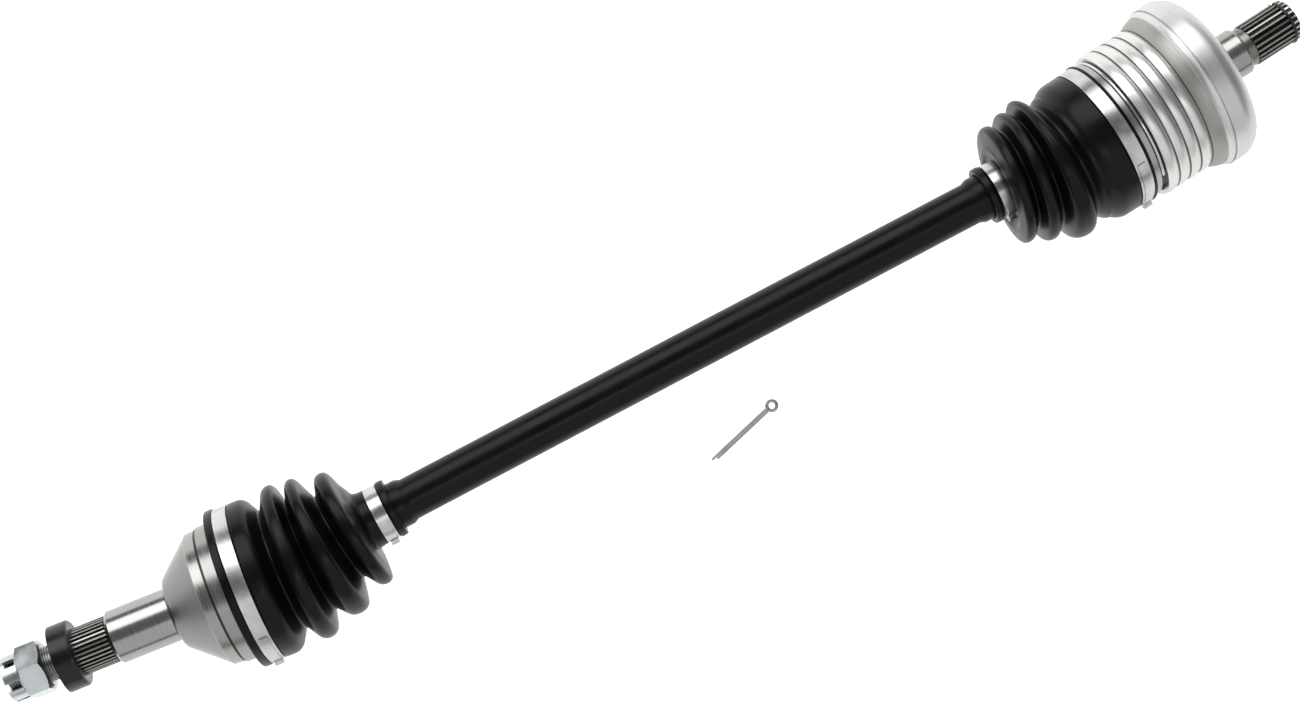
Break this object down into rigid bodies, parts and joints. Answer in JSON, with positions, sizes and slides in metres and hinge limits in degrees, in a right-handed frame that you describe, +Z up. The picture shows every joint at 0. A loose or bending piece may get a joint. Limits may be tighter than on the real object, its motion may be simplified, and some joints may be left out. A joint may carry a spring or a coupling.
{
  "type": "cv axle",
  "caption": "Front drive shaft with a fixed ball joint and splined, threaded stub at one end, a plunging ball joint at the other, and ribbed rubber boots.",
  "frame": {"origin": "middle of the bar, on its axis", "axes": "+X along the bar from the wheel end to the gearbox end, +Z up; at rest both joints bend a little towards +Y"},
  "size_m": [0.8728, 0.1269, 0.1104],
  "materials": {
    "bar": "gloss black",
    "joint_steel": "ground",
    "ball_steel": "polished",
    "black_spring": "black oxide",
    "machined_steel": "turned satin",
    "boot_rubber": "satin",
    "clamp_steel": "bright stainless",
    "black_washer": "black satin",
    "zinc": "bright zinc plate",
    "sleeve_aluminium": "cast, turned",
    "bright_wire": "bright wire"
  },
  "bodies": {
    "shaft": {"axle_bar": "bar", "outer_joint_race": "joint_steel", "inner_joint_race": "joint_steel", "outer_race_circlip": "black_spring", "inner_race_circlip": "black_spring", "outer_boot_small_clamp": "clamp_steel", "inner_boot_small_clamp": "clamp_steel"},
    "outer_lead": {"outer_joint_lead_ball": "ball_steel"},
    "outer_cage": {"outer_joint_cage": "joint_steel", "outer_joint_balls": "ball_steel", "outer_boot": "boot_rubber"},
    "outer_follow": {"outer_joint_follow_ball": "ball_steel"},
    "outer_hub": {"outer_bell": "machined_steel", "outer_boot_large_clamp": "clamp_steel"},
    "washer": {"hub_washer": "black_washer"},
    "nut": {"castle_nut": "zinc"},
    "pin": {"cotter_pin": "zinc"},
    "inner_lead": {"inner_joint_lead_ball": "ball_steel"},
    "inner_cage": {"inner_joint_cage": "joint_steel", "inner_joint_balls": "ball_steel"},
    "inner_follow": {"inner_joint_follow_ball": "ball_steel"},
    "inner_plunge": {"inner_boot": "boot_rubber"},
    "inner_housing": {"inner_housing": "machined_steel", "finned_sleeve": "sleeve_aluminium", "sleeve_snap_ring": "bright_wire", "ball_stop_ring": "black_spring", "stub_circlip": "black_spring", "inner_boot_large_clamp": "clamp_steel"}
  },
  "joints": [
    {"name": "outer_swing_bar", "type": "hinge", "parent": "shaft", "child": "outer_lead", "pos_m": [-0.306, 0, 0], "axis": [0, 0, 1], "range_deg": [-13.05, 18.95], "deforming": ["outer_boot"]},
    {"name": "outer_tilt_bar", "type": "hinge", "parent": "outer_lead", "child": "outer_cage", "pos_m": [-0.306, 0, 0], "axis": [0.0515, 0.9987, 0], "range_deg": [-16, 16], "deforming": ["outer_boot"]},
    {"name": "outer_tilt_bell", "type": "hinge", "parent": "outer_cage", "child": "outer_follow", "pos_m": [-0.306, 0, 0], "axis": [0.0515, 0.9987, 0], "range_deg": [-16, 16], "deforming": ["outer_boot"]},
    {"name": "outer_swing_bell", "type": "hinge", "parent": "outer_follow", "child": "outer_hub", "pos_m": [-0.306, 0, 0], "axis": [0, 0, 1], "range_deg": [-13.05, 18.95], "deforming": ["outer_boot"]},
    {"name": "washer_slide", "type": "slide", "parent": "outer_hub", "child": "washer", "axis": [-0.9947, 0.1028, 0], "range_m": [0, 0.0068]},
    {"name": "nut_turn", "type": "hinge", "parent": "outer_hub", "child": "nut", "pos_m": [-0.44277, 0.01413, 0], "axis": [-0.9947, 0.1028, 0], "continuous": true},
    {"name": "pin_lift", "type": "slide", "parent": "shaft", "child": "pin", "axis": [0, 0, 1], "range_m": [0, 0.15]},
    {"name": "inner_swing_bar", "type": "hinge", "parent": "shaft", "child": "inner_lead", "pos_m": [0.306, 0, 0], "axis": [0, 0, 1], "range_deg": [-9.45, 4.55], "deforming": ["inner_boot"]},
    {"name": "inner_tilt_bar", "type": "hinge", "parent": "inner_lead", "child": "inner_cage", "pos_m": [0.306, 0, 0], "axis": [-0.0427, 0.9991, 0], "range_deg": [-7, 7], "deforming": ["inner_boot"]},
    {"name": "inner_tilt_housing", "type": "hinge", "parent": "inner_cage", "child": "inner_follow", "pos_m": [0.306, 0, 0], "axis": [-0.0427, 0.9991, 0], "range_deg": [-7, 7], "deforming": ["inner_boot"]},
    {"name": "inner_swing_housing", "type": "hinge", "parent": "inner_follow", "child": "inner_plunge", "pos_m": [0.306, 0, 0], "axis": [0, 0, 1], "range_deg": [-9.45, 4.55], "deforming": ["inner_boot"]},
    {"name": "inner_plunge_slide", "type": "slide", "parent": "inner_plunge", "child": "inner_housing", "axis": [0.9963, 0.0854, 0], "range_m": [-0.014, 0.016], "deforming": ["inner_boot"]}
  ],
  "couplings": [
    {"joint": "outer_swing_bell", "follows": "outer_swing_bar", "ratio": 1},
    {"joint": "outer_tilt_bell", "follows": "outer_tilt_bar", "ratio": 1},
    {"joint": "inner_swing_housing", "follows": "inner_swing_bar", "ratio": 1},
    {"joint": "inner_tilt_housing", "follows": "inner_tilt_bar", "ratio": 1}
  ]
}
